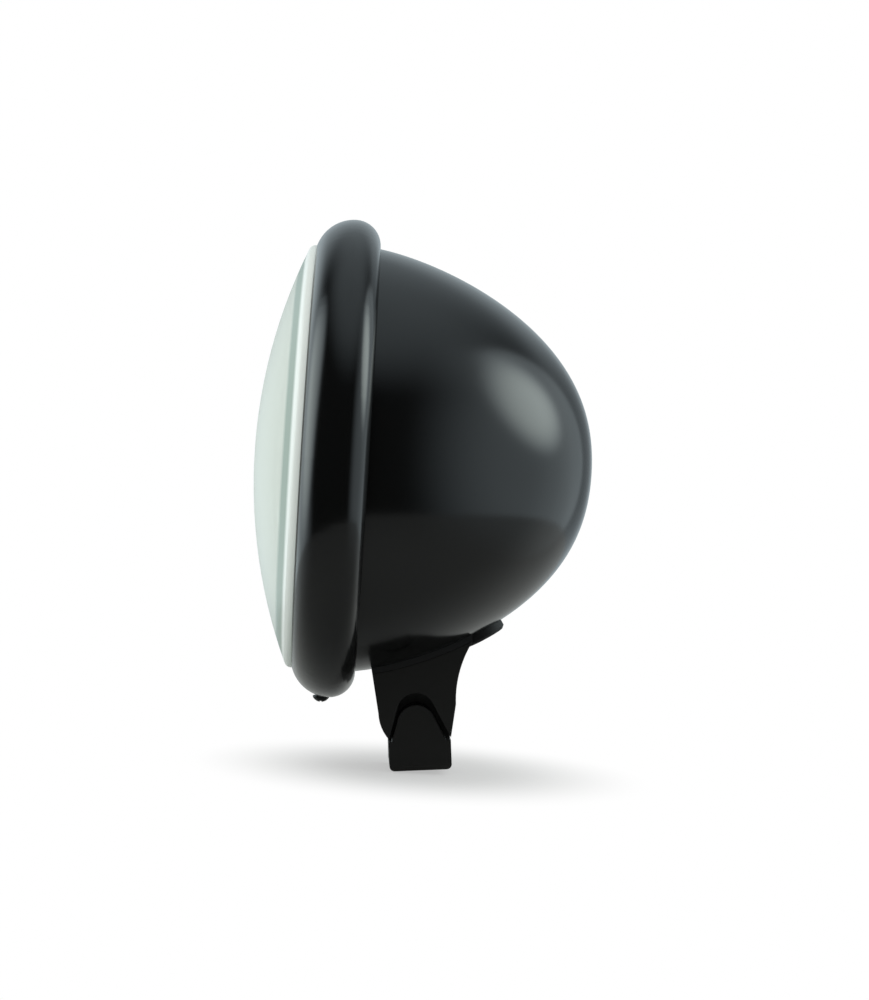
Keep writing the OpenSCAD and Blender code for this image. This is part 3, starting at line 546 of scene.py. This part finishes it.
# %% The leads
thick = add(group, "GeometryNodeCurvePrimitiveCircle", {"Resolution": 12, "Radius": given["Lead radius"]})
gathered = add(group, "GeometryNodeJoinGeometry", {"Geometry": coils})


def lead(x_from, y_from, x_to, y_to):
    """Adds a straight lead wire in the plane of the axis, between two places."""
    ends = [add(group, "ShaderNodeCombineXYZ", {"X": x, "Y": y, "Z": given["Axis height"]})
            for x, y in ((x_from, y_from), (x_to, y_to))]
    line = add(group, "GeometryNodeCurvePrimitiveLine", {"Start": ends[0], "End": ends[1]})
    rod = add(group, "GeometryNodeCurveToMesh", {"Curve": line, "Profile Curve": thick, "Fill Caps": True})
    group.links.new(rod.outputs[0], gathered.inputs[0])


right_lead, front, back = given["Lead offset"], given["Front"], given["Back"]
left_lead = add(group, "ShaderNodeMath", {0: right_lead, 1: -1.0}, operation="MULTIPLY")
left_of_coil = add(group, "ShaderNodeMath", {0: given["Coil radius"], 1: -1.0}, operation="MULTIPLY")
front_end = add(group, "ShaderNodeMath", {0: front, 1: given["Coil length"]}, operation="ADD")
rear_front = add(group, "ShaderNodeMath", {0: front, 1: given["Step"]}, operation="ADD")
rear_end = add(group, "ShaderNodeMath", {0: rear_front, 1: given["Coil length"]}, operation="ADD")
lead(right_lead, front, right_lead, back)
lead(given["Coil radius"], front, right_lead, front)
lead(left_lead, rear_front, left_lead, back)
lead(left_of_coil, rear_front, left_lead, rear_front)
lead(0.0, front_end, 0.0, rear_front)
lead(0.0, rear_end, 0.0, back)
print("leads", round(LEAD_RADIUS * 2 / MM, 1), "mm thick")

# %% [markdown]
# ## The finished filaments
# The coils are copies, so Realize Instances makes them real before the tree gives them their tungsten.
# The piece then stands for the CAD's rods.

# %% The finished coils
real = add(group, "GeometryNodeRealizeInstances", {"Geometry": gathered})
smooth = add(group, "GeometryNodeSetShadeSmooth", {"Geometry": real})
drawn = add(group, "GeometryNodeSetMaterial", {"Geometry": smooth, "Material": METAL["drawn_tungsten"]})
group.links.new(drawn.outputs[0], out[0])
coil = build("filament_coils", group, WIRE)
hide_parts("bulb_filaments")

# %% [markdown]
# ## The room that the gloss mirrors
# Black gloss shows the room more than itself. So the room is drawn as a studio would set it up: a pale
# wall across from the camera, a soft light overhead, a pale wall behind the bowl with one bright lamp
# on it, and two soft lights in front of the lens. The side where the camera stands is dark, and so is a
# gap beside the wall behind the bowl, which draws the thin dark line inside the bowl's outline. The
# room is fixed in space, so its reflections stay put when the camera moves.

# %% Lights of the room
# Each light: the way to its middle, the angle in degrees up to which it is full and the one where it
# ends, its strength, and how far it is squashed upright (below 1 makes it tall). The gap takes light
# away.
FAR_WALL = ((-1.00, 0.00, 0.00), 40, 78, 0.62, 1.35)
DARK_GAP = ((-0.77, 0.63, 0.10), 3, 24, -0.28, 0.9)
OVERHEAD = ((0.05, 0.05, 1.00), 0, 54, 0.74, 1.0)
REAR_LAMP = ((-0.05, 0.88, 0.45), 0, 22, 3.50, 1.0)
FRONT_WIDE = ((-0.57, -0.80, -0.18), 15, 52, 1.20, 1.1)
FRONT_TALL = ((-0.17, -0.94, 0.26), 0, 27, 2.60, 0.7)
REAR_WALL_SOFT = ((0.00, 1.00, 0.04), 20, 58, 1.00, 1.0)
REAR_WALL_CRISP = ((0.00, 1.00, 0.10), 42, 46, 1.00, 1.0)
world = bpy.data.worlds.new("studio_room")
bpy.context.scene.world = world
world.use_nodes = True
tree = world.node_tree
tree.nodes.clear()
way = add(tree, "ShaderNodeTexCoord").outputs["Generated"]


def glow(toward, full, edge, strength, squash):
    """Adds one soft round light to the room. The node it returns gives its brightness for each way."""
    middle = mathutils.Vector((toward[0], toward[1], toward[2] * squash)).normalized()
    squashed = add(tree, "ShaderNodeVectorMath", {0: way, 1: (1, 1, squash)}, operation="MULTIPLY")
    unit = add(tree, "ShaderNodeVectorMath", {0: squashed}, operation="NORMALIZE")
    near = add(tree, "ShaderNodeVectorMath", {0: unit, 1: middle}, operation="DOT_PRODUCT")
    return add(tree, "ShaderNodeMapRange", {
        "Value": near.outputs["Value"], "From Min": math.cos(math.radians(edge)),
        "From Max": math.cos(math.radians(full)), "To Max": strength}, interpolation_type="SMOOTHSTEP")


print("the overhead light ends", OVERHEAD[2], "degrees from straight up")

# %% [markdown]
# ## The wall behind the bowl
# This wall ends crisply on the far side, where the dark gap follows, and fades softly on the side of
# the camera. So it is drawn twice, crisp and soft, and the two meet in the middle. Its crisp half grows
# darker towards its end, as a wall does away from its lamp.

# %% Rear wall
SEAM = 0.1
DARK_END, BRIGHT_END = -0.62, -0.3
DARK_STRENGTH, BRIGHT_STRENGTH = 0.6, 1.12
across = add(tree, "ShaderNodeSeparateXYZ", {0: way})
side = add(tree, "ShaderNodeMapRange", {"Value": across.outputs["X"], "From Min": -SEAM, "From Max": SEAM})
falling = add(tree, "ShaderNodeMapRange", {
    "Value": across.outputs["X"], "From Min": DARK_END, "From Max": BRIGHT_END,
    "To Min": DARK_STRENGTH, "To Max": BRIGHT_STRENGTH})
crisp_wall, soft_wall = glow(*REAR_WALL_CRISP), glow(*REAR_WALL_SOFT)
crisp_half = add(tree, "ShaderNodeMath", {0: crisp_wall, 1: falling}, operation="MULTIPLY")
rear_wall = add(tree, "ShaderNodeMix", {"Factor": side, "A": crisp_half, "B": soft_wall}, data_type="FLOAT")
room = rear_wall
for light in (FAR_WALL, DARK_GAP, OVERHEAD, REAR_LAMP, FRONT_WIDE, FRONT_TALL):
    room = add(tree, "ShaderNodeMath", {0: glow(*light), 1: room}, operation="ADD")
# The gap takes light away, and there can't be less than none.
room = add(tree, "ShaderNodeMath", {0: room, 1: 0.0}, operation="MAXIMUM")
print("room drawn from", len(tree.nodes), "nodes")

# %% [markdown]
# ## Who sees the room
# The weak parts of the room are a cool daylight grey, and the bright lamps in it are nearly white. Only
# mirror-like rays see the room. Plain surfaces get an even grey light from all round, so that a colour
# looks as it is written, and the camera sees a white background, also through the glass.

# %% World
LAMP_STRENGTH = 4.0
DAYLIGHT, LAMPLIGHT = (0.85, 0.99, 1.07, 1), (0.93, 1.05, 1.03, 1)
EVEN_GREY, WHITE = (0.8, 0.8, 0.8, 1), (1, 1, 1, 1)
power = add(tree, "ShaderNodeMapRange", {"Value": room, "From Max": LAMP_STRENGTH})
cool = add(tree, "ShaderNodeMix", {"Factor": power, "A": DAYLIGHT, "B": LAMPLIGHT}, data_type="RGBA")
lit = add(tree, "ShaderNodeVectorMath", {0: cool.outputs["Result"], 1: room}, operation="MULTIPLY")
path = add(tree, "ShaderNodeLightPath")
shown = add(tree, "ShaderNodeMix", {
    "Factor": path.outputs["Is Glossy Ray"], "A": EVEN_GREY, "B": lit}, data_type="RGBA")
seen = add(tree, "ShaderNodeMath", {
    0: path.outputs["Is Camera Ray"], 1: path.outputs["Is Transmission Ray"]}, operation="MAXIMUM")
final = add(tree, "ShaderNodeMix", {
    "Factor": seen, "A": shown.outputs["Result"], "B": WHITE}, data_type="RGBA")
sky = add(tree, "ShaderNodeBackground", {"Color": final.outputs["Result"]})
add(tree, "ShaderNodeOutputWorld", {"Surface": sky})
print("world drawn from", len(tree.nodes), "nodes")

# %% [markdown]
# ## Softboxes
# Three area lights model the plain surfaces, such as the foot and the reflector, and cast the soft
# shadow on the floor. They stay out of mirrors, because the room already holds their reflections. Each
# stands off the middle of the lamp in its own direction and looks back at it. A light's energy is
# worked out from its radiance and its area, so a larger box is softer but not brighter.

# %% Three softboxes
LAMP_MIDDLE = mathutils.Vector((0, CREST_Y + 20 * MM, AXIS_Z))


def softbox(name, toward, distance, width, height, radiance, tint="#FFFFFF"):
    """Adds a rectangular light that looks at the middle of the lamp."""
    light = bpy.data.lights.new(name, "AREA")
    light.shape = "RECTANGLE"
    light.size, light.size_y = width, height
    light.energy = radiance * math.pi * width * height
    light.color = colour(tint)[:3]
    box = bpy.data.objects.new(name, light)
    bpy.context.scene.collection.objects.link(box)
    direction = mathutils.Vector(toward).normalized()
    box.location = LAMP_MIDDLE + direction * distance
    box.rotation_euler = (-direction).to_track_quat("-Z", "Y").to_euler()
    box.visible_camera = False
    box.visible_glossy = False
    print(name, "radiance", radiance)


softbox("front_softbox", (-0.30, -0.92, 0.13), distance=1.0, width=0.42, height=0.75, radiance=1.5)
softbox("rear_softbox", (-0.08, 0.87, 0.48), distance=1.1, width=0.85, height=0.80, radiance=1.0,
        tint="#F4FAFF")
softbox("overhead_softbox", (-0.1, 0.1, 1.0), distance=1.1, width=0.9, height=0.9, radiance=0.6)

# %% [markdown]
# ## Floor
# The lamp stands over a round pale board. To the camera, the board fades into the white background a
# short way from the foot, so that only the shadow is left of it. In the enamel it is the dark lower
# half of the reflections: a painted shade darkens it on the camera's side, and it is a little
# see-through at its rim, where it meets the room.

# %% Floor board
FLOOR_RADIUS = 265 * MM
FLOOR_MIDDLE = (-40 * MM, 15 * MM, -1.1 * MM)
bpy.ops.mesh.primitive_circle_add(vertices=128, radius=FLOOR_RADIUS, fill_type="NGON")
floor = bpy.context.object
floor.name = "studio_floor"
floor.location = FLOOR_MIDDLE
print("floor at", round(floor.location.z / MM, 1), "mm")

# %% [markdown]
# ## How the floor looks to the camera and in the gloss
# Object coordinates count from the middle of the board, so the distance from the foot is measured from
# the foot's place on it. Three ranges over that distance and over X say how far the board has faded for
# the camera, how see-through it is in the gloss, and how much painted shade darkens it there.

# %% Floor finish
FOOT_ON_FLOOR = (-FLOOR_MIDDLE[0], -FLOOR_MIDDLE[1], 0)
FADE_FROM, FADE_FULL, FADE_AT_FOOT = 20 * MM, 80 * MM, 0.45
VEIL_FROM, VEIL_FULL, VEIL_MOST = 90 * MM, 210 * MM, 0.2
# Painted shade on the board in the gloss, over X: where it starts, where it is full, least and most.
PAINTED_SHADE_FROM, PAINTED_SHADE_FULL, PAINTED_SHADE_LEAST, PAINTED_SHADE_MOST = 10 * MM, 100 * MM, 0.08, 0.47
pale, tree, place = start("pale_studio_floor")
board = add(tree, "ShaderNodeBsdfDiffuse", {"Color": colour("#C9CCC9")})
white = add(tree, "ShaderNodeEmission", {"Color": WHITE, "Strength": 1.0})
painted_shade = add(tree, "ShaderNodeEmission", {"Color": (0, 0, 0, 1), "Strength": 0.0})
beyond = add(tree, "ShaderNodeBsdfTransparent")
far = add(tree, "ShaderNodeVectorMath", {0: place, 1: FOOT_ON_FLOOR}, operation="DISTANCE")
across = add(tree, "ShaderNodeSeparateXYZ", {0: place})
fade = add(tree, "ShaderNodeMapRange", {
    "Value": far.outputs["Value"], "From Min": FADE_FROM, "From Max": FADE_FULL, "To Min": FADE_AT_FOOT,
    "To Max": 1.0}, interpolation_type="SMOOTHSTEP")
veil = add(tree, "ShaderNodeMapRange", {
    "Value": far.outputs["Value"], "From Min": VEIL_FROM, "From Max": VEIL_FULL, "To Max": VEIL_MOST},
    interpolation_type="SMOOTHSTEP")
# Painted shade: in the gloss the board is mixed towards black on the camera's side.
dark = add(tree, "ShaderNodeMapRange", {
    "Value": across.outputs["X"], "From Min": PAINTED_SHADE_FROM, "From Max": PAINTED_SHADE_FULL, "To Min": PAINTED_SHADE_LEAST,
    "To Max": PAINTED_SHADE_MOST}, interpolation_type="SMOOTHSTEP")
print("floor has faded", round(FADE_FULL / MM), "mm from the foot")

# %% [markdown]
# ## Which ray sees which floor
# Light Path tells the camera's rays, also those through glass, from mirror-like rays. All other rays
# meet the plain board, so the floor sends its soft light up under the bowl and takes the shadow.

# %% Floor for each kind of ray
path = add(tree, "ShaderNodeLightPath")
eye = add(tree, "ShaderNodeMath", {
    0: path.outputs["Is Camera Ray"], 1: path.outputs["Is Transmission Ray"]}, operation="MAXIMUM")
seen_by_eye = add(tree, "ShaderNodeMixShader", {0: fade, 1: board, 2: white})
shade_painted_board = add(tree, "ShaderNodeMixShader", {0: dark, 1: board, 2: painted_shade})
mirrored = add(tree, "ShaderNodeMixShader", {0: veil, 1: shade_painted_board, 2: beyond})
other = add(tree, "ShaderNodeMixShader", {0: path.outputs["Is Glossy Ray"], 1: board, 2: mirrored})
mixed = add(tree, "ShaderNodeMixShader", {0: eye, 1: other, 2: seen_by_eye})
add(tree, "ShaderNodeOutputMaterial", {"Surface": mixed})
floor.data.materials.append(pale)
print("floor drawn from", len(tree.nodes), "nodes")

# %% [markdown]
# ## Camera
# The photograph looks at the lamp from its side, a little above the foot, and the lamp leans about
# three degrees in the picture. The camera is set from those measured points for a picture of
# 869 x 1000: where the eye is, what it looks at, and how far its upright leans.

# %% Camera
EYE = mathutils.Vector((0.755, -0.029, 0.104))
AIM = mathutils.Vector((0.0, -0.0005, 0.090))
LEAN = math.radians(3.5)
SENSOR_HEIGHT_MM, FOCAL_LENGTH_MM = 36.0, 80.7
shot = bpy.data.cameras.new("photo_camera")
shot.sensor_fit = "VERTICAL"
shot.sensor_height = SENSOR_HEIGHT_MM
shot.lens = FOCAL_LENGTH_MM
camera = bpy.data.objects.new("photo_camera", shot)
bpy.context.scene.collection.objects.link(camera)
forward = (AIM - EYE).normalized()
upright = mathutils.Vector((0, -math.sin(LEAN), math.cos(LEAN)))
right = forward.cross(upright).normalized()
up = right.cross(forward).normalized()
camera.matrix_world = mathutils.Matrix((
    (right.x, up.x, -forward.x, EYE.x), (right.y, up.y, -forward.y, EYE.y),
    (right.z, up.z, -forward.z, EYE.z), (0, 0, 0, 1)))
bpy.context.scene.camera = camera
bpy.context.scene.view_settings.view_transform = "Standard"
print("camera at", [round(v, 3) for v in camera.location])
